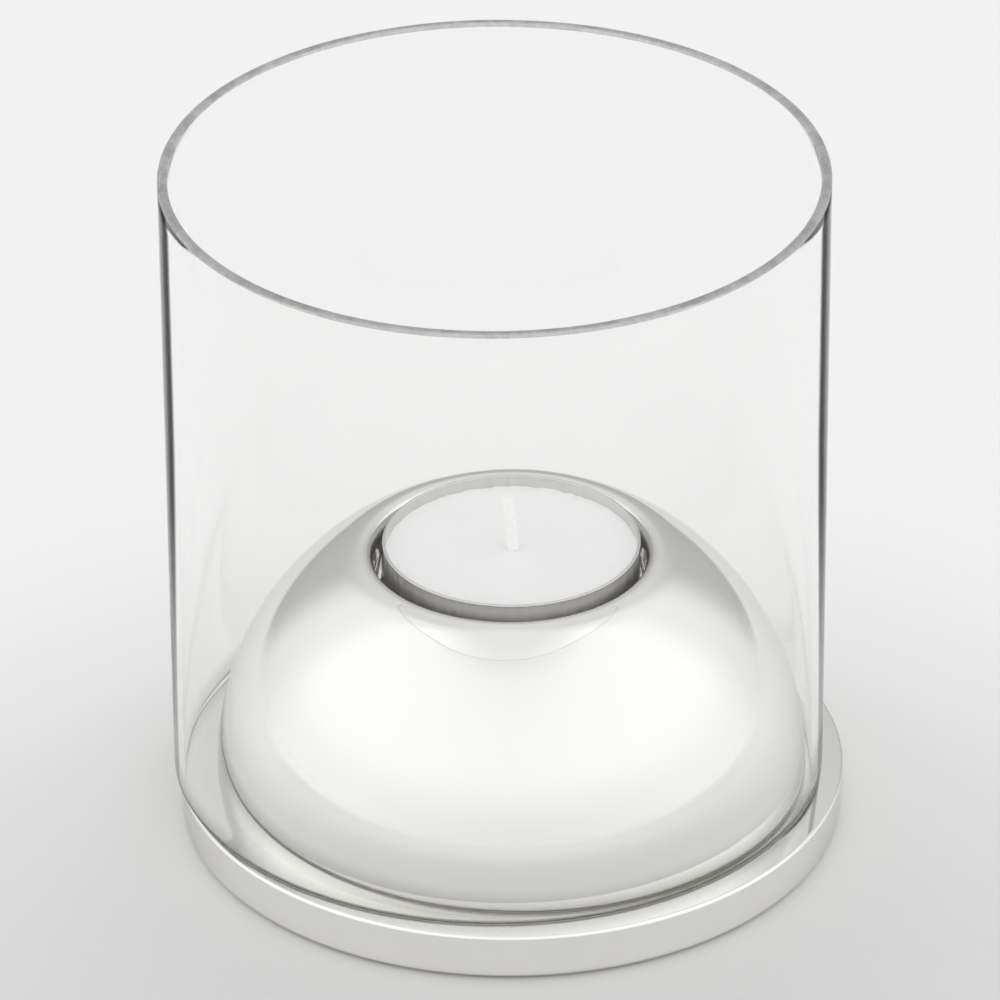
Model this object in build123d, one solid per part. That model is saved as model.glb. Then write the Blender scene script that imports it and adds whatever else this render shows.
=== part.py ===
from build123d import *
import math
import os

# A tealight holder: a polished disc with a hollow dome bolted on top, a well in the dome for
# one tealight, and a loose glass chimney that stands on the disc round the dome's foot.
# Millimetres. The origin is the centre of the felt's underside, on the surface it rests on.
# Heights are along +Z, and every turned piece is a section in (radius, height) spun about Z.

# Driving dimensions: the base disc and what is inside it
base_radius = 50.05                 # at the top, before its edge is rounded
base_foot_radius = 49.7             # the band leans out slightly from foot to top
base_top = 7.8
base_top_rounding = 0.6
base_foot_rounding = 1.3
base_foot = 0.3                     # the felt stands this far proud of the metal
base_plate_thickness = 1.5
base_wall = 3.2
felt_thickness = 1.5
inset_gap = 0.15                    # round the ballast plate and the felt, inside the disc
ballast_counterbore_radius = 8.5
ballast_counterbore_depth = 3.8

# Driving dimensions: the dome and the lip round its opening
dome_radius = 44.2                  # half width of the ellipse that the dome is spun to
dome_rise = 41.8                    # half height of that ellipse
dome_skirt = 1.2                    # the wall runs straight down from the ellipse's widest point
dome_thickness = 1.0
opening_radius = 20.15
lip_rounding = 2.4
collar_bottom = 40.5                # the lip is turned down to here

# Driving dimensions: the well inside the dome, and its stud, washer and nut
well_wall = 0.8
well_top = 42.0
well_floor_top = 29.4
well_corner = 2.0
stud_radius = 2.5                   # M5
stud_head_radius = 8.0
stud_head_height = 1.5
hole_clearance = 0.3
washer_radius = 6.0
washer_height = 1.0
nut_width = 8.0                     # across flats
nut_height = 2.7
nut_chamfer = 0.5
thread_clearance = 0.05

# Driving dimensions: the glass chimney, which stands a little off centre inside its play
chimney_radius = 48.85
chimney_wall = 1.5
chimney_top = 106.3
chimney_offset = (-1.95, 1.95)      # to the left and to the back
chimney_rim_rounding = 0.7
chimney_foot_rounding = 0.3

# Driving dimensions: the tealight, a cup 38 mm wide outside with a curled rim
tealight_offset = 0.2               # it stands a little off centre in the well
cup_radius = 19.0
cup_wall = 0.25
cup_top = 45.9
cup_corner = 1.2
rim_bead = 0.22                     # radius of the curled rim
wax_top = 43.8
wax_creep = 0.5                     # the wax stands this much higher where it meets the cup
wax_creep_width = 2.5
sustainer_radius = 6.5
sustainer_thickness = 0.3
sustainer_collar_radius = 1.5
sustainer_collar_height = 3.0
wick_radius = 0.87
wick_knee = Vector(0.35, 0.45, wax_top)     # where the wick leaves the wax
wick_tip = Vector(-0.55, 0.45, 53.0)

# Dimensions worked out from those above
base_plate_bottom = base_top - base_plate_thickness
base_cavity_radius = base_foot_radius - base_wall
dome_centre = base_top + dome_skirt
collar_radius = opening_radius + dome_thickness
well_radius = collar_radius + well_wall
well_bottom = well_floor_top - well_wall
stud_head_bottom = well_bottom - stud_head_height
counterbore_top = felt_thickness + ballast_counterbore_depth
washer_bottom = counterbore_top - washer_height
nut_bottom = washer_bottom - nut_height
chimney_bore = chimney_radius - chimney_wall
cup_bottom = well_floor_top
cup_floor_top = cup_bottom + cup_wall
cup_bore = cup_radius - cup_wall
sustainer_top = cup_floor_top + sustainer_thickness
wick_foot = Vector(0, 0, sustainer_top)


def block(inner_radius, outer_radius, bottom, top):
    """A rectangle in the section plane, between two radii and two heights."""
    middle = Pos((inner_radius + outer_radius) / 2, (bottom + top) / 2)
    return middle * Rectangle(outer_radius - inner_radius, top - bottom)


def rounded(section, corner, size):
    """Round the corner of a section that lies nearest to a (radius, height) point."""
    nearest = section.vertices().sort_by_distance((corner[0], corner[1], 0))[0]
    return fillet(nearest, size)


def spin(section):
    """Turn a (radius, height) section about the vertical axis."""
    return revolve(Plane.XZ * section, Axis.Z)


def base_disc():
    """The polished disc: a shell, open below, with a hole for the stud."""
    outline = Polyline(
        (0, base_foot), (base_foot_radius, base_foot), (base_radius, base_top), (0, base_top),
        close=True)
    section = make_face(outline)
    section = rounded(section, (base_foot_radius, base_foot), base_foot_rounding)
    section = rounded(section, (base_radius, base_top), base_top_rounding)
    section -= block(0, base_cavity_radius, 0, base_plate_bottom)
    section -= block(0, stud_radius + hole_clearance, 0, base_top)
    return spin(section)


def ballast_plate():
    """The steel weight that fills the disc, counterbored for the washer and the nut."""
    section = block(stud_radius + hole_clearance, base_cavity_radius - inset_gap,
                    felt_thickness, base_plate_bottom)
    section -= block(0, ballast_counterbore_radius, 0, counterbore_top)
    return spin(section)


def felt_pad():
    """The felt disc glued into the underside, which the holder rests on."""
    return spin(block(0, base_cavity_radius - inset_gap, 0, felt_thickness))


def dome_outline(hole_radius, shrink, lip):
    """The area under the dome's ellipse and outside its hole, with a rounded lip."""
    ellipse = Pos(0, dome_centre) * Ellipse(dome_radius - shrink, dome_rise - shrink)
    outline = ellipse & block(hole_radius, dome_radius, dome_centre, dome_centre + dome_rise)
    outline = rounded(outline, (hole_radius, dome_centre + dome_rise), lip)
    return outline + block(hole_radius, dome_radius - shrink, base_top, dome_centre)


def dome_shell():
    """The spun dome: its wall and the lip turned down round its opening."""
    section = dome_outline(opening_radius, 0, lip_rounding)
    section -= dome_outline(collar_radius, dome_thickness, lip_rounding - dome_thickness)
    section -= block(0, collar_radius, base_top, collar_bottom)
    return spin(section)


def candle_well():
    """The cup soldered round the dome's collar, which the tealight stands in."""
    section = block(0, well_radius, well_bottom, well_top)
    section = rounded(section, (well_radius, well_bottom), well_corner)
    hollow = block(0, collar_radius, well_floor_top, well_top + well_wall)
    hollow = rounded(hollow, (collar_radius, well_floor_top), well_corner - well_wall)
    return spin(section - hollow)


def well_stud():
    """The stud under the well, which ties the dome down on the base disc."""
    head = block(0, stud_head_radius, stud_head_bottom, well_bottom)
    shank = block(0, stud_radius, nut_bottom, stud_head_bottom)
    return spin(head + shank)


def clamp_washer():
    """The washer between the ballast plate and the nut."""
    return spin(block(stud_radius + hole_clearance, washer_radius, washer_bottom, counterbore_top))


def clamp_nut():
    """The thin hexagon nut on the stud, with its corners chamfered."""
    hexagon = Plane.XY.offset(nut_bottom) * RegularPolygon(nut_width / 2, 6, major_radius=False)
    nut = extrude(hexagon, nut_height)
    corner_radius = nut_width / 2 / math.cos(math.pi / 6)
    cone = block(0, corner_radius, nut_bottom, washer_bottom)
    for height in (nut_bottom, washer_bottom):
        corner = cone.vertices().sort_by_distance((corner_radius, height, 0))[0]
        cone = chamfer(corner, nut_chamfer)
    bore = block(0, stud_radius + thread_clearance, nut_bottom, washer_bottom)
    return (nut & spin(cone)) - spin(bore)


def glass_chimney():
    """The open glass tube, fire-polished at the top and ground flat at the foot."""
    section = block(chimney_bore, chimney_radius, base_top, chimney_top)
    for radius in (chimney_bore, chimney_radius):
        section = rounded(section, (radius, chimney_top), chimney_rim_rounding)
        section = rounded(section, (radius, base_top), chimney_foot_rounding)
    return spin(section)


def tealight_cup():
    """The thin aluminium cup, with a rounded floor corner and a rolled rim."""
    section = block(0, cup_radius, cup_bottom, cup_top - rim_bead)
    section = rounded(section, (cup_radius, cup_bottom), cup_corner)
    hollow = block(0, cup_bore, cup_floor_top, cup_top)
    hollow = rounded(hollow, (cup_bore, cup_floor_top), cup_corner - cup_wall)
    section -= hollow
    section += Pos(cup_bore + rim_bead, cup_top - rim_bead) * Circle(rim_bead)
    return spin(section)


def rod(start, end):
    """A straight length of wick between two points."""
    section = Plane(origin=start, z_dir=end - start) * Circle(wick_radius)
    return extrude(section, (end - start).length)


def tealight_wick():
    """The wick: upright in the wax, and leaning to one side above it."""
    knee = Pos(wick_knee) * Sphere(wick_radius)
    return rod(wick_foot, wick_knee) + knee + rod(wick_knee, wick_tip)


def wick_sustainer():
    """The metal disc on the cup's floor, with a collar round the wick's foot."""
    section = block(0, sustainer_radius, cup_floor_top, sustainer_top)
    section += block(0, sustainer_collar_radius, cup_floor_top, sustainer_top + sustainer_collar_height)
    return spin(section) - tealight_wick()


def tealight_wax():
    """The wax fill, dished where it creeps up the cup's wall, cast round the wick."""
    outline = Polyline((0, cup_floor_top), (cup_bore, cup_floor_top), (cup_bore, wax_top + wax_creep),
                       (cup_bore - wax_creep_width, wax_top), (0, wax_top), close=True)
    section = make_face(outline)
    section = rounded(section, (cup_bore, cup_floor_top), cup_corner - cup_wall)
    return spin(section) - tealight_wick() - wick_sustainer()


def write(name, piece):
    """Write one piece to its own file."""
    piece.label = name
    export_step(piece, f"parts/{name}.step")


os.makedirs("parts", exist_ok=True)
for make in (base_disc, ballast_plate, felt_pad, dome_shell, candle_well, well_stud,
             clamp_washer, clamp_nut):
    write(make.__name__, make())
write("glass_chimney", Pos(*chimney_offset) * glass_chimney())
for make in (tealight_cup, tealight_wax, tealight_wick, wick_sustainer):
    write(make.__name__, Pos(tealight_offset, 0, 0) * make())
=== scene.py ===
import math

import bmesh
import bpy
from mathutils import Matrix, Vector, noise


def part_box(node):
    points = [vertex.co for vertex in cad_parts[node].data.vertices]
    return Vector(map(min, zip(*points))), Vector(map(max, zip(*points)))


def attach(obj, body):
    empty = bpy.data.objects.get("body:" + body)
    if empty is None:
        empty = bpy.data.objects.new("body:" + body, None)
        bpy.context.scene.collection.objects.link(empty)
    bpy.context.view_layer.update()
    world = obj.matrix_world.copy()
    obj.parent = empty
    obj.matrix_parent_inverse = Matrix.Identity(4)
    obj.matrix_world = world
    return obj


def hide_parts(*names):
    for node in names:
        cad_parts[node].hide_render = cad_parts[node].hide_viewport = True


MM = 0.001

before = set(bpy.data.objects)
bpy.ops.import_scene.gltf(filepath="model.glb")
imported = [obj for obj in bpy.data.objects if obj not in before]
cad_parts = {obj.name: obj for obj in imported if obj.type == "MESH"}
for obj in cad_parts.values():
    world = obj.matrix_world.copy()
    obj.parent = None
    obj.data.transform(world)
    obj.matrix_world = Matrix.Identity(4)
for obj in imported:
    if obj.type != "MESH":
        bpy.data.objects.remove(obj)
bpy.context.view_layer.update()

# How finely the pieces are divided
turn_faces = 256                    # faces round a turned piece
arc_faces = 8                       # faces round one rounded corner of a section
merge_distance = 1e-7               # points closer than this are one point
sharp_angle = math.radians(30)      # an edge that turns more than this stays crisp

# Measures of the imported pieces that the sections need
base_low, base_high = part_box("base_disc")
well_low, well_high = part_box("candle_well")
dome_low, dome_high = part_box("dome_shell")
glass_low, glass_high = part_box("glass_chimney")
cup_low, cup_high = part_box("tealight_cup")
wax_low, wax_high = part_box("tealight_wax")
wick_low, wick_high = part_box("tealight_wick")

# The disc
base_band_lean = 0.35 * MM          # the band is this much wider at the top
base_top_rounding = 0.6 * MM
base_foot_rounding = 1.3 * MM
base_side_trim = 0.03 * MM          # the roundings take this off the widest radius
base_wall = 3.2 * MM
base_plate = 1.5 * MM
stud_hole = 2.8 * MM

# The dome
dome_radius = dome_high.x
dome_rise = 41.8 * MM
dome_skirt = 1.2 * MM               # its wall runs straight down over this height at the foot
dome_wall = 1.0 * MM
dome_slices = 96
opening_radius = 20.15 * MM
lip_start = 26.0 * MM               # the dome starts to curl over into its lip here
lip_end = 41.3 * MM                 # and is upright from here down
lip_steps = 24
collar_bottom = 40.5 * MM

# The well
well_wall = 0.8 * MM
well_corner = 2.0 * MM

# The chimney
glass_wall = 1.5 * MM
glass_rim_rounding = 0.7 * MM
glass_foot_rounding = 0.3 * MM
glass_foot_gap = 0.02 * MM          # its ground foot is not quite flat on the disc
glass_rings = 40                    # rows of faces up the wall
glass_rim_wave = 0.06 * MM          # the rim dips by up to this
glass_rim_wave_height = 4 * MM      # the dips fade out over this height below the rim
glass_wall_wave = 0.03 * MM         # the bore wanders by up to this
outer_wall, inner_wall, rim, ground_foot = range(4)     # its finishes, in this order

# The tealight
cup_bead = 0.22 * MM                # radius of its rolled rim
cup_bead_faces = 16
cup_bead_start = -60                # the bead runs round between these angles, in degrees
cup_bead_end = 240
cup_wall = 0.25 * MM
cup_corner = 1.2 * MM
cup_rings = 24                      # rows of faces up the wall
rib_count = 72
faces_per_rib = 8
rib_depth = 0.02 * MM
wax_rings = 48
wax_creep = 0.5 * MM                # the wax stands this much higher where it meets the cup
wax_creep_width = 2.5 * MM
wax_edge_waves = 9                  # how fast its edge rises and falls, going round
wax_edge_teeth = 24                 # and how fast in its finer jags
wax_skin = 0.1 * MM                 # wax this close to its top is part of the surface
wax_meniscus = 0.25 * MM            # it climbs the wick by this
wax_meniscus_reach = 5              # out to this many times the wick's radius
wax_ripple = 0.04 * MM              # its surface wanders by up to this
wax_ripples = 300                   # and this many times in a metre
wick_radius = 0.87 * MM
wick_faces = 48                     # faces round it
wick_rings = 160                    # rows of faces along it
wick_blunt_rings = 4                # it narrows over this many rows at its cut end
wick_knee = Vector((0.35, 0.45, 0)) * MM    # where it leaves the wax, from its foot
wick_tip = Vector((-0.55, 0.45, 0)) * MM
wick_bend = 1.3                     # above 1 it bends more towards its tip
wick_trim = 0.3 * MM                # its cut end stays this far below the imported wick's
wick_twist = 2.4                    # how far its strands turn in a millimetre, in radians
wick_strands = 1.5                  # half as many strands as there are each way round
wick_strand_depth = 0.08            # these three are shares of the wick's radius
wick_core = 0.88
wick_fray = 0.05

# The floor
floor_reach = 8.0
painted_shadow_centre = (0, -50 * MM, 0)     # a painted shadow greys the floor most round here
# how far the painted shadow reaches
painted_shadow_reach = 170 * MM
painted_shade_depth = 60 * MM                # painted shade: it brightens from this far in front to this far behind
far_floor_start = 270 * MM          # from here its colour blends into the tent's brightness: painted light and shade
far_floor_end = 500 * MM

# The camera
camera_lens = 284.93                # this and the sensor's width are in millimetres
camera_sensor = 36
camera_reach = 50                   # it sees this far
camera_place = Vector((-3.9, -1011.0, 641.6)) * MM
camera_tilt = math.radians(59.76)   # up from straight down
camera_yaw = -0.0024
camera_roll = -0.0065


def rounded_corner(before, corner, after, radius):
    """The points of the arc that rounds one corner of a section."""
    if radius == 0:
        return [corner]
    to_before = (before - corner).normalized()
    to_after = (after - corner).normalized()
    half_angle = to_before.angle(to_after) / 2
    centre = corner + (to_before + to_after).normalized() * radius / math.sin(half_angle)
    reach = radius / math.tan(half_angle)
    first = (corner + to_before * reach - centre).normalized()
    last = (corner + to_after * reach - centre).normalized()
    shares = [step / arc_faces for step in range(arc_faces + 1)]
    return [centre + first.slerp(last, share) * radius for share in shares]


def outline(corners):
    """A section from its (radius, height, rounding) corners."""
    spots = [Vector(corner[:2]) for corner in corners]
    points = []
    for index, corner in enumerate(corners):
        after = spots[(index + 1) % len(spots)]
        points += rounded_corner(spots[index - 1], spots[index], after, corner[2])
    return points


def add_piece(name, vertices, faces):
    """A smooth-shaded mesh object with its normals outward and its corners crisp."""
    mesh = bpy.data.meshes.new(name)
    mesh.from_pydata(vertices, [], faces)
    shape = bmesh.new()
    shape.from_mesh(mesh)
    bmesh.ops.remove_doubles(shape, verts=shape.verts, dist=merge_distance)
    bmesh.ops.recalc_face_normals(shape, faces=shape.faces)
    shape.to_mesh(mesh)
    shape.free()
    mesh.shade_smooth()
    mesh.set_sharp_from_angle(angle=sharp_angle)
    piece = bpy.data.objects.new(name, mesh)
    bpy.context.scene.collection.objects.link(piece)
    return piece


def turned(name, section, centre, faces_round=turn_faces):
    """A section spun about a vertical axis. It is closed unless it starts on the axis."""
    count = len(section)
    closed = section[0].x > 0
    vertices = []
    for turn in range(faces_round):
        angle = 2 * math.pi * turn / faces_round
        for radius, height in section:
            vertices.append((centre.x + radius * math.cos(angle),
                             centre.y + radius * math.sin(angle), height))
    faces = []
    for turn in range(faces_round):
        here = turn * count
        there = (turn + 1) % faces_round * count
        for step in range(count if closed else count - 1):
            after = (step + 1) % count
            faces.append((here + step, there + step, there + after, here + after))
    return add_piece(name, vertices, faces)


def middle(low, high):
    """The centre of a box, which every turned piece's axis passes through."""
    return (low + high) / 2


def smooth(value, start, end):
    """0 at start and 1 at end, with a smooth turn between them."""
    share = min(max((value - start) / (end - start), 0), 1)
    return share * share * (3 - 2 * share)


def wander(x, y, z=0.0):
    """A smooth random value from -1 to 1 at a point, the same on every run."""
    return noise.noise(Vector((x, y, z)))


def base_disc():
    """The polished disc that everything stands on."""
    top = base_high.z
    widest = base_high.x + base_side_trim
    foot = widest - base_band_lean
    cavity = foot - base_wall
    section = outline([
        (stud_hole, top, 0), (widest, top, base_top_rounding),
        (foot, base_low.z, base_foot_rounding), (cavity, base_low.z, 0),
        (cavity, top - base_plate, 0), (stud_hole, top - base_plate, 0)])
    return turned("base_disc_polished", section, middle(base_low, base_high))


def dome_arc(shrink, inner_radius):
    """Points down the dome's ellipse, from an inner radius to its widest point."""
    across = dome_radius - shrink
    rise = dome_rise - shrink
    centre_height = dome_low.z + dome_skirt
    start = math.acos(inner_radius / across)
    points = []
    for step in range(dome_slices + 1):
        angle = start * (1 - step / dome_slices)
        points.append((across * math.cos(angle), centre_height + rise * math.sin(angle), 0))
    return points


def lip_curve(arc, radius):
    """The lip: a curve from the top of a dome arc, over and down to an upright collar."""
    start = Vector(arc[0][:2])
    slope = (Vector(arc[1][:2]) - start).normalized()
    corner = start + slope * (radius - start.x) / slope.x
    end = Vector((radius, lip_end))
    points = []
    for step in range(lip_steps):
        share = step / lip_steps
        over = start.lerp(corner, share)
        down = corner.lerp(end, share)
        points.append((*over.lerp(down, share), 0))
    return points + [(*end, 0)]


def dome_shell():
    """The spun dome, with its rounded lip and its collar."""
    collar = opening_radius + dome_wall
    outside = dome_arc(0, lip_start)
    inside = dome_arc(dome_wall, lip_start - dome_wall / 2)
    section = outline(
        lip_curve(outside, opening_radius)[::-1]
        + outside[1:]
        + [(dome_radius, dome_low.z, 0), (dome_radius - dome_wall, dome_low.z, 0)]
        + inside[:0:-1]
        + lip_curve(inside, collar)
        + [(collar, collar_bottom, 0), (opening_radius, collar_bottom, 0)])
    return turned("dome_polished", section, middle(dome_low, dome_high))


def candle_well():
    """The cup inside the dome that the tealight stands in."""
    outer = well_high.x
    inner = outer - well_wall
    floor_top = well_low.z + well_wall
    section = outline([
        (0, well_low.z, 0), (outer, well_low.z, well_corner), (outer, well_high.z, 0),
        (inner, well_high.z, 0), (inner, floor_top, well_corner - well_wall),
        (0, floor_top, 0)])
    return turned("candle_well_polished", section, middle(well_low, well_high))


def glass_chimney():
    """The open tube: drawn walls that are not quite even, and a fire-polished rim."""
    centre = middle(glass_low, glass_high)
    outer = glass_high.x - centre.x
    inner = outer - glass_wall
    foot = glass_low.z + glass_foot_gap
    rim_start = glass_high.z - glass_rim_rounding
    step = (rim_start - foot) / glass_rings
    heights = [foot + step * ring for ring in range(1, glass_rings)]
    section = outline(
        [(inner, foot, glass_foot_rounding), (outer, foot, glass_foot_rounding)]
        + [(outer, height, 0) for height in heights]
        + [(outer, glass_high.z, glass_rim_rounding), (inner, glass_high.z, glass_rim_rounding)]
        + [(inner, height, 0) for height in reversed(heights)])
    piece = turned("chimney_glass", section, centre)
    for vertex in piece.data.vertices:
        offset = vertex.co - centre
        angle = math.atan2(offset.y, offset.x)
        around = Vector((math.cos(angle), math.sin(angle), 0))
        near_rim = smooth(vertex.co.z, rim_start - glass_rim_wave_height, rim_start)
        dip = glass_rim_wave * (1 + wander(around.x * 5, around.y * 5)) / 2
        vertex.co.z -= near_rim * dip
        radius = math.hypot(offset.x, offset.y)
        sag = glass_wall_wave * wander(around.x * 4, around.y * 4, vertex.co.z * 40)
        if radius < (inner + outer) / 2:
            vertex.co += around * sag
    return piece


def finish_glass(piece):
    """Give each face of the glass the finish for its place."""
    centre = middle(glass_low, glass_high)
    rim_start = glass_high.z - glass_rim_rounding - glass_rim_wave
    foot_end = glass_low.z + glass_foot_gap + glass_foot_rounding
    middle_radius = glass_high.x - centre.x - glass_wall / 2
    for face in piece.data.polygons:
        radius = math.hypot(face.center.x - centre.x, face.center.y - centre.y)
        if face.center.z > rim_start:
            face.material_index = rim
        elif face.center.z < foot_end:
            face.material_index = ground_foot
        elif radius < middle_radius:
            face.material_index = inner_wall
        else:
            face.material_index = outer_wall


def tealight_cup():
    """The thin pressed cup, with fine upright ribs and a rolled rim."""
    centre = middle(cup_low, cup_high)
    bead_radius = cup_high.x - centre.x - cup_bead
    outer = bead_radius + cup_wall - cup_bead
    inner = outer - cup_wall
    bead_height = cup_high.z - cup_bead
    wall_start = cup_low.z + cup_corner
    step = (bead_height - wall_start) / cup_rings
    heights = [wall_start + step * ring for ring in range(1, cup_rings)]
    bead = []
    for face in range(cup_bead_faces + 1):
        share = face / cup_bead_faces
        angle = math.radians(cup_bead_start + (cup_bead_end - cup_bead_start) * share)
        bead.append((bead_radius + cup_bead * math.cos(angle),
                     bead_height + cup_bead * math.sin(angle), 0))
    floor_top = cup_low.z + cup_wall
    section = outline(
        [(0, cup_low.z, 0), (outer, cup_low.z, cup_corner)]
        + [(outer, height, 0) for height in heights]
        + bead
        + [(inner, height, 0) for height in reversed(heights)]
        + [(inner, floor_top, cup_corner - cup_wall), (0, floor_top, 0)])
    piece = turned("tealight_cup_ribbed", section, centre, rib_count * faces_per_rib)
    for vertex in piece.data.vertices:
        offset = vertex.co - centre
        offset.z = 0
        if offset.length > inner - cup_corner:
            angle = math.atan2(offset.y, offset.x)
            fade = (smooth(vertex.co.z, wall_start, wall_start + cup_corner)
                    * smooth(vertex.co.z, bead_height - cup_corner / 2, bead_height - cup_corner))
            rib = rib_depth / 2 * (math.cos(rib_count * angle) - 1)
            vertex.co += offset.normalized() * rib * fade
    return piece


def wick_centre(height):
    """The middle of the wick at a height: upright in the wax, bent to one side above it."""
    foot = Vector((middle(wax_low, wax_high).x, 0, wick_low.z))
    wax_top = wax_high.z - wax_creep
    in_wax = smooth(height, foot.z, wax_top)
    above = (height - wax_top) / (wick_high.z - wax_top)
    bend = max(above, 0) ** wick_bend
    spot = foot.lerp(foot + wick_knee, in_wax).lerp(foot + wick_tip, bend)
    return Vector((spot.x, spot.y, height))


def tealight_wax():
    """The wax: cast round the wick, creeping unevenly up the cup's wall."""
    centre = middle(wax_low, wax_high)
    outer = wax_high.x - centre.x
    top = wax_high.z - wax_creep
    rings = [outer + (wick_radius - outer) * ring / wax_rings for ring in range(wax_rings + 1)]
    section = outline(
        [(wick_radius, wax_low.z, 0), (outer, wax_low.z, cup_corner - cup_wall)]
        + [(radius, top, 0) for radius in rings])
    piece = turned("tealight_wax_cast", section, centre)
    for vertex in piece.data.vertices:
        offset = vertex.co - centre
        radius = math.hypot(offset.x, offset.y)
        angle = math.atan2(offset.y, offset.x)
        around = Vector((math.cos(angle), math.sin(angle)))
        lean = wick_centre(vertex.co.z) - centre
        lean.z = 0
        near_wick = 1 - smooth(radius, wick_radius, wax_meniscus_reach * wick_radius)
        if vertex.co.z > top - wax_skin:
            creep = max(radius - outer + wax_creep_width, 0) / wax_creep_width
            waves = 0.2 * wander(*(around * wax_edge_waves))
            teeth = 0.45 * wander(*(around * wax_edge_teeth))
            uneven = min(0.5 + waves + teeth, 1)
            vertex.co.z += wax_creep * uneven * creep ** 2
            vertex.co.z += wax_meniscus * near_wick ** 3
            vertex.co.z += wax_ripple * wander(offset.x * wax_ripples, offset.y * wax_ripples)
        vertex.co += lean * near_wick
    return piece


def tealight_wick():
    """The braided wick, stiff with wax and cut straight across."""
    length = wick_high.z - wick_low.z - wick_trim
    vertices = []
    for ring in range(wick_rings + 1):
        height = wick_low.z + length * ring / wick_rings
        centre = wick_centre(height)
        blunt = 1 - 0.25 * smooth(ring, wick_rings - wick_blunt_rings, wick_rings)
        twist = height / MM * wick_twist
        for turn in range(wick_faces):
            angle = 2 * math.pi * turn / wick_faces
            way_round = angle * wick_strands
            strands = abs(math.sin(way_round + twist)) + abs(math.sin(way_round - twist))
            fray = wick_fray * wander(math.cos(angle), math.sin(angle), height / MM * 0.8)
            radius = wick_radius * blunt * (wick_core + wick_strand_depth * strands + fray)
            vertices.append(centre + Vector((radius * math.cos(angle),
                                             radius * math.sin(angle), 0)))
    faces = [tuple(range(wick_faces))]
    for ring in range(wick_rings):
        low = ring * wick_faces
        high = low + wick_faces
        for turn in range(wick_faces):
            after = (turn + 1) % wick_faces
            faces.append((low + turn, low + after, high + after, high + turn))
    last = wick_rings * wick_faces
    faces.append(tuple(range(last, last + wick_faces)))
    return add_piece("tealight_wick_braided", vertices, faces)


def add_node(tree, kind, inputs=None, **settings):
    """A shader node, with its settings, and its inputs given as values or as other sockets."""
    made = tree.nodes.new(kind)
    for name, value in settings.items():
        setattr(made, name, value)
    for name, value in (inputs or {}).items():
        socket = made.inputs[name]
        if isinstance(value, bpy.types.NodeSocket):
            tree.links.new(value, socket)
        else:
            socket.default_value = value
    return made


def new_material(name):
    """An empty node material, with its shader, its output and the piece's own coordinates."""
    material = bpy.data.materials.new(name)
    material.use_nodes = True
    tree = material.node_tree
    tree.nodes.clear()
    shader = add_node(tree, "ShaderNodeBsdfPrincipled")
    add_node(tree, "ShaderNodeOutputMaterial", {"Surface": shader.outputs[0]})
    place = add_node(tree, "ShaderNodeTexCoord").outputs["Object"]
    return material, tree, shader, place


def along(tree, vector, axis):
    """One coordinate of a place or a direction."""
    return add_node(tree, "ShaderNodeSeparateXYZ", {"Vector": vector}).outputs[axis]


def grain(tree, place, scale, detail=4.0, stretch=(1, 1, 1)):
    """A noise pattern's value over the piece, stretched along its axes."""
    stretched = add_node(tree, "ShaderNodeMapping", {"Vector": place, "Scale": stretch})
    made = add_node(tree, "ShaderNodeTexNoise",
                    {"Vector": stretched.outputs[0], "Scale": scale, "Detail": detail})
    return made.outputs["Fac"]


def between(tree, value, low, high, start=0.3, end=0.7):
    """A pattern's value spread smoothly between two numbers."""
    made = add_node(tree, "ShaderNodeMapRange",
                    {"Value": value, "From Min": start, "From Max": end,
                     "To Min": low, "To Max": high}, interpolation_type="SMOOTHSTEP")
    return made.outputs["Result"]


def tone(tree, value, first, last):
    """A colour that runs from one colour to another as a value goes from 0 to 1."""
    made = add_node(tree, "ShaderNodeValToRGB", {"Fac": value})
    for element, colour in zip(made.color_ramp.elements, (first, last)):
        element.color = (*colour, 1)
    return made.outputs["Color"]


def level_ramp(tree, share, stops):
    """A brightness that follows a value from 0 to 1 through (position, brightness) stops."""
    made = add_node(tree, "ShaderNodeValToRGB", {"Fac": share})
    ramp = made.color_ramp
    ramp.interpolation = "EASE"
    while len(ramp.elements) < len(stops):
        ramp.elements.new(0.5)
    for element, (position, value) in zip(ramp.elements, stops):
        element.position = position
        element.color = (value, value, value, 1)
    return made.outputs["Color"]


def combine(tree, operation, first, second=0.0):
    """One step of arithmetic on sockets or numbers."""
    made = add_node(tree, "ShaderNodeMath", {0: first, 1: second}, operation=operation)
    return made.outputs[0]


def relief(tree, shader, height, depth):
    """A fine bump on a shader's normal, with its depth in metres."""
    bump = add_node(tree, "ShaderNodeBump", {"Height": height, "Distance": depth})
    tree.links.new(bump.outputs[0], shader.inputs["Normal"])


def finish(tree, shader, colour, roughness):
    """Drive a shader's colour and roughness by patterns."""
    tree.links.new(colour, shader.inputs["Base Color"])
    tree.links.new(roughness, shader.inputs["Roughness"])


def metal(name):
    """An empty node material for a metal."""
    material, tree, shader, place = new_material(name)
    shader.inputs["Metallic"].default_value = 1
    return material, tree, shader, place


def silver():
    """Mirror-polished silver plate, with the faint haze that polishing leaves."""
    material, tree, shader, place = metal("silver_plate_mirror")
    shader.inputs["Specular Tint"].default_value = (0.82, 0.82, 0.82, 1)
    colour = tone(tree, grain(tree, place, 60), (0.925, 0.915, 0.895), (0.945, 0.94, 0.925))
    finish(tree, shader, colour, between(tree, grain(tree, place, 220, 6), 0.035, 0.06))
    relief(tree, shader, grain(tree, place, 2500, 2), 0.0005 * MM)
    return material


def mixed(tree, share, first, second):
    """Two shaders mixed by a share from 0 to 1."""
    mix = add_node(tree, "ShaderNodeMixShader", {"Fac": share})
    tree.links.new(first, mix.inputs[1])
    tree.links.new(second, mix.inputs[2])
    return mix.outputs[0]


def matt(tree, colour):
    """A plain matt shade."""
    return add_node(tree, "ShaderNodeBsdfDiffuse", {"Color": colour}).outputs[0]


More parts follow.
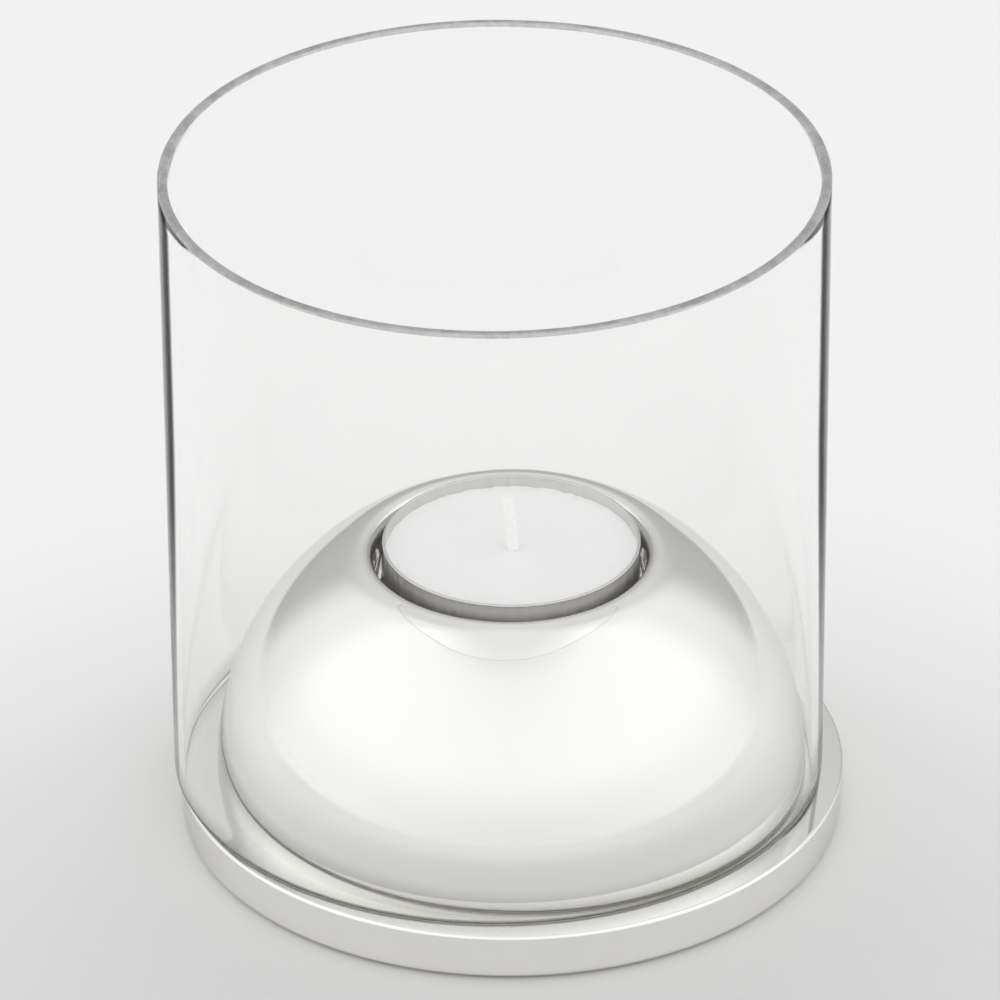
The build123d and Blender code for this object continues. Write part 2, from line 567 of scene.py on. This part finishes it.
def milky(tree, colour):
    """A matt shade that lets half of its light through."""
    through = add_node(tree, "ShaderNodeBsdfTranslucent", {"Color": colour}).outputs[0]
    return mixed(tree, 0.5, matt(tree, colour), through)


def veil(tree, shader, share, shade):
    """Lay a shade over a shader, by a share from 0 to 1."""
    output = next(node for node in tree.nodes if node.type == "OUTPUT_MATERIAL")
    tree.links.new(mixed(tree, share, shader.outputs[0], shade), output.inputs["Surface"])


def glass(name, tint, roughness):
    """Clear glass with a few faint drawing marks."""
    material, tree, shader, place = new_material(name)
    shader.inputs["Transmission Weight"].default_value = 1
    shader.inputs["IOR"].default_value = 1.5
    spots = grain(tree, place, 90)
    colour = tone(tree, spots, tint, tuple(min(channel + 0.01, 1) for channel in tint))
    finish(tree, shader, colour, between(tree, spots, roughness, roughness * 1.6))
    return material, tree, shader, place


def edge_on(tree):
    """How nearly an upright wall is seen edge on in plan: 0 square on, 1 along the wall."""
    upright = add_node(tree, "ShaderNodeCombineXYZ", {"X": 0.0, "Y": 0.0, "Z": 1.0}).outputs[0]
    from_wall = add_node(tree, "ShaderNodeLayerWeight", {"Blend": 0.5}).outputs["Facing"]
    from_above = add_node(tree, "ShaderNodeLayerWeight", {"Blend": 0.5, "Normal": upright})
    rise = combine(tree, "SUBTRACT", 1.0, from_above.outputs["Facing"])
    rise_squared = combine(tree, "MULTIPLY", rise, rise)
    level = combine(tree, "SQRT", combine(tree, "SUBTRACT", 1.0, rise_squared))
    square_on = combine(tree, "SUBTRACT", 1.0, from_wall)
    return combine(tree, "SUBTRACT", 1.0, combine(tree, "DIVIDE", square_on, level))


def glass_wall_outside():
    """The tube's outer wall, with painted shade: a dark veil past the bore's edge, most of all
    high up, and at its foot.
    """
    material, tree, shader, place = glass("glass_outer_wall", (0.985, 0.99, 0.985), 0.0)
    shader.inputs["Specular Tint"].default_value = (0.3, 0.3, 0.3, 1)
    height = along(tree, place, "Z")
    fade = between(tree, height, 0.45, 1.0, 12 * MM, 62 * MM)
    narrowing = between(tree, height, 0.07, 0.0, 12 * MM, 75 * MM)
    # painted shade: a dark veil where the wall is seen past the bore's edge
    dark = level_ramp(tree, combine(tree, "SUBTRACT", edge_on(tree), narrowing), (
        (0.751, 0.0), (0.765, 0.44), (0.776, 0.82), (0.798, 0.94), (0.844, 0.86),
        (0.861, 0.68), (0.89, 0.65), (0.942, 0.25), (1.0, 0.1)))
    # painted shade: darker at the foot, where the glass meets the disc
    painted_foot_shade = between(tree, height, 0.3, 0.0, glass_low.z, glass_low.z + 4 * MM)
    share = combine(tree, "MAXIMUM", combine(tree, "MULTIPLY", dark, fade), painted_foot_shade)
    # the painted shade is a near-black matt layer laid over the glass
    veil(tree, shader, share, matt(tree, (0.03, 0.032, 0.03, 1)))
    return material


def glass_wall_inside():
    """The tube's inner wall, clear all over."""
    material, _, shader, _ = glass("glass_inner_wall", (0.985, 0.99, 0.985), 0.0)
    shader.inputs["Specular Tint"].default_value = (0.15, 0.15, 0.15, 1)
    return material


def glass_rim():
    """The fire-polished rim: a pale, streaky line of glass, its paleness a painted highlight laid
    on as a matt veil, with painted sparkle.
    """
    material, tree, shader, place = glass("glass_rim", (0.95, 0.96, 0.95), 0.03)
    streaks = grain(tree, place, 260, 4, (1, 1, 0.3))
    relief(tree, shader, streaks, 0.1 * MM)
    # painted sparkle: fine specks of painted highlight in the veil
    shade = tone(tree, grain(tree, place, 1100, 6), (0.6, 0.61, 0.6), (1.0, 1.0, 1.0))
    # painted highlight: a pale matt veil over most of the rim
    veil(tree, shader, between(tree, streaks, 0.7, 0.96), milky(tree, shade))
    return material


def glass_foot():
    """The ground foot: pale grey, with the faint olive tone of thick glass."""
    material, tree, shader, place = glass("glass_foot", (0.8, 0.8, 0.74), 0.35)
    share = between(tree, grain(tree, place, 500, 3), 0.5, 0.7)
    veil(tree, shader, share, milky(tree, (0.78, 0.77, 0.71, 1)))
    return material


def aluminium():
    """Thin rolled aluminium, with fine upright streaks and a slightly uneven surface."""
    material, tree, shader, place = metal("cup_aluminium_pressed")
    streaks = grain(tree, place, 1800, 2, (1, 1, 0.03))
    colour = tone(tree, streaks, (0.62, 0.61, 0.605), (0.76, 0.755, 0.75))
    finish(tree, shader, colour, between(tree, streaks, 0.34, 0.46))
    relief(tree, shader, grain(tree, place, 1500, 4), 0.01 * MM)
    return material


def wax():
    """White paraffin: slightly translucent, with a faintly crystalline surface."""
    material, tree, shader, place = new_material("wax_paraffin")
    colour = tone(tree, grain(tree, place, 150, 5), (0.9, 0.9, 0.895), (0.93, 0.93, 0.925))
    finish(tree, shader, colour, between(tree, grain(tree, place, 400, 5), 0.42, 0.6))
    shader.inputs["Subsurface Weight"].default_value = 0.2
    shader.inputs["Subsurface Radius"].default_value = (1.0, 1.0, 1.0)
    shader.inputs["Subsurface Scale"].default_value = MM
    relief(tree, shader, grain(tree, place, 700, 6), 0.03 * MM)
    return material


def cotton():
    """The wick's waxed cotton, with its threads slanting round it."""
    material, tree, shader, place = new_material("wick_cotton_waxed")
    threads = grain(tree, place, 2600, 3, (1, 1, 0.5))
    colour = tone(tree, threads, (0.95, 0.95, 0.94), (0.99, 0.99, 0.985))
    finish(tree, shader, colour, between(tree, threads, 0.5, 0.75))
    relief(tree, shader, threads, 0.05 * MM)
    return material


def felt():
    """Pressed black felt: short matted fibres with a faint sheen."""
    material, tree, shader, place = new_material("felt_pressed")
    fibres = grain(tree, place, 1800, 8)
    colour = tone(tree, fibres, (0.018, 0.018, 0.02), (0.05, 0.05, 0.055))
    finish(tree, shader, colour, between(tree, fibres, 0.85, 1.0))
    shader.inputs["Sheen Weight"].default_value = 0.25
    relief(tree, shader, fibres, 0.3 * MM)
    return material


def steel(name, dark, light, scale, low, high):
    """Plain steel, rough from the mill or zinc plated: two shades, and a range of roughness."""
    material, tree, shader, place = metal(name)
    mottle = grain(tree, place, scale, 6)
    finish(tree, shader, tone(tree, mottle, dark, light), between(tree, mottle, low, high))
    relief(tree, shader, mottle, 0.02 * MM)
    return material


def bearing_share(tree, vector):
    """How far a direction is turned from the viewer's side: 0 in front, 1 straight behind."""
    to_viewer = combine(tree, "MULTIPLY", along(tree, vector, "Y"), -1.0)
    bearing = combine(tree, "ARCTAN2", along(tree, vector, "X"), to_viewer)
    return combine(tree, "DIVIDE", combine(tree, "ABSOLUTE", bearing), math.pi)


def distance(tree, place, spot):
    """How far a place is from a spot."""
    return add_node(tree, "ShaderNodeVectorMath", {0: place, 1: spot},
                    operation="DISTANCE").outputs["Value"]


def horizon(tree, turn, gain=1.0):
    """The studio's brightness along the horizon, where the far floor meets the tent; the far
    floor's colour copies it, as painted light and shade.
    """
    stops = ((0, 0.86), (0.55, 0.99), (0.7, 0.87), (0.8, 0.52), (1, 0.52))
    return level_ramp(tree, turn, [(position, level * gain) for position, level in stops])


def blend(tree, share, first, second):
    """A colour between two colours."""
    mix = add_node(tree, "ShaderNodeMix", {"Factor": share}, data_type="RGBA")
    for name, colour in (("A", first), ("B", second)):
        if isinstance(colour, bpy.types.NodeSocket):
            tree.links.new(colour, mix.inputs[name])
        else:
            mix.inputs[name].default_value = (colour, colour, colour, 1)
    return mix.outputs["Result"]


def paper():
    """The pale floor, with a painted shadow just in front of the object; far away its colour is
    painted to the tent's brightness.
    """
    material, tree, shader, place = new_material("floor_paper")
    # painted shade: the floor is darker in front of the object than behind it
    depth = between(tree, along(tree, place, "Y"), 0.9, 1.0, -painted_shade_depth, painted_shade_depth)
    # painted shadow round a spot just in front of the object
    shade = between(tree, distance(tree, place, painted_shadow_centre), 0.75, 0.98, 0, painted_shadow_reach)
    # far away, painted light and shade: the floor's colour follows the tent's brightness by
    # bearing, lightest at the sides and darkest behind
    far = between(tree, distance(tree, place, (0, 0, 0)), 0.0, 1.0, far_floor_start, far_floor_end)
    whole = blend(tree, far, combine(tree, "MULTIPLY", depth, shade),
                  horizon(tree, bearing_share(tree, place), 1.08))
    fibre = tone(tree, grain(tree, place, 900, 5), (0.965, 0.965, 0.96), (0.98, 0.98, 0.975))
    mix = add_node(tree, "ShaderNodeMix", {"Factor": 1.0}, data_type="RGBA", blend_type="MULTIPLY")
    tree.links.new(whole, mix.inputs["A"])
    tree.links.new(fibre, mix.inputs["B"])
    tree.links.new(mix.outputs["Result"], shader.inputs["Base Color"])
    shader.inputs["Roughness"].default_value = 0.9
    shader.inputs["Specular IOR Level"].default_value = 0.1
    return material


def floor():
    """A wide flat floor that reaches past every view."""
    reach = floor_reach
    corners = [(-reach, -reach, 0), (reach, -reach, 0), (reach, reach, 0), (-reach, reach, 0)]
    piece = add_piece("floor", corners, [(0, 1, 2, 3)])
    piece.data.materials.append(paper())


def studio():
    """A soft white tent round the object, dimmer overhead and low down at its back."""
    world = bpy.data.worlds.new("studio")
    world.use_nodes = True
    bpy.context.scene.world = world
    tree = world.node_tree
    tree.nodes.clear()
    direction = add_node(tree, "ShaderNodeTexCoord").outputs["Generated"]
    height = along(tree, direction, "Z")
    turn = bearing_share(tree, direction)
    low = horizon(tree, turn)
    mid = level_ramp(tree, turn, (
        (0, 1.035), (0.55, 1.12), (0.68, 0.92), (0.78, 0.72), (1, 0.75)))
    behind = between(tree, turn, 0.0, 0.28, 0.65, 0.8)
    lifted = combine(tree, "SUBTRACT", height, behind)
    side = blend(tree, between(tree, lifted, 0.0, 1.0, 0.0, 0.5), low, mid)
    whole = blend(tree, between(tree, height, 0.0, 1.0, 0.9, 1.0), side, 0.86)
    light = add_node(tree, "ShaderNodeBackground", {"Color": whole})
    add_node(tree, "ShaderNodeOutputWorld", {"Surface": light.outputs[0]})


def camera():
    """A long lens from in front, looking down at the holder."""
    data = bpy.data.cameras.new("camera")
    data.lens = camera_lens
    data.sensor_width = camera_sensor
    data.clip_end = camera_reach
    eye = bpy.data.objects.new("camera", data)
    bpy.context.scene.collection.objects.link(eye)
    place = Matrix.Translation(camera_place)
    yaw = Matrix.Rotation(camera_yaw, 4, "Z")
    tilt = Matrix.Rotation(camera_tilt, 4, "X")
    roll = Matrix.Rotation(camera_roll, 4, "Z")
    eye.matrix_world = place @ yaw @ tilt @ roll
    bpy.context.scene.camera = eye


def stand_for(piece, node, body, materials):
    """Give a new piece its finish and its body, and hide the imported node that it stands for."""
    for material in materials:
        piece.data.materials.append(material)
    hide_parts(node)
    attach(piece, body)


def refinish(node, material):
    """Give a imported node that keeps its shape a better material."""
    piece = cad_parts[node]
    for index in range(len(piece.material_slots)):
        piece.material_slots[index].material = material


polished = silver()
stand_for(base_disc(), "base_disc", "holder", [polished])
stand_for(dome_shell(), "dome_shell", "holder", [polished])
stand_for(candle_well(), "candle_well", "holder", [polished])

chimney = glass_chimney()
stand_for(chimney, "glass_chimney", "chimney",
          [glass_wall_outside(), glass_wall_inside(), glass_rim(), glass_foot()])
finish_glass(chimney)

stand_for(tealight_cup(), "tealight_cup", "tealight", [aluminium()])
stand_for(tealight_wax(), "tealight_wax", "tealight", [wax()])
stand_for(tealight_wick(), "tealight_wick", "tealight", [cotton()])

zinc = steel("zinc_plate", (0.6, 0.61, 0.63), (0.72, 0.72, 0.73), 500, 0.25, 0.4)
mill = steel("mill_steel", (0.24, 0.24, 0.25), (0.36, 0.36, 0.37), 300, 0.45, 0.65)
refinish("felt_pad", felt())
refinish("ballast_plate", mill)
for part in ("well_stud", "clamp_washer", "clamp_nut", "wick_sustainer"):
    refinish(part, zinc)

floor()
studio()
camera()

scene = bpy.context.scene
scene.view_settings.view_transform = "Standard"
scene.cycles.max_bounces = 24
scene.cycles.glossy_bounces = 12
scene.cycles.transmission_bounces = 20
scene.cycles.blur_glossy = 0.0      # a light path that has turned matt stays sharp in the glass
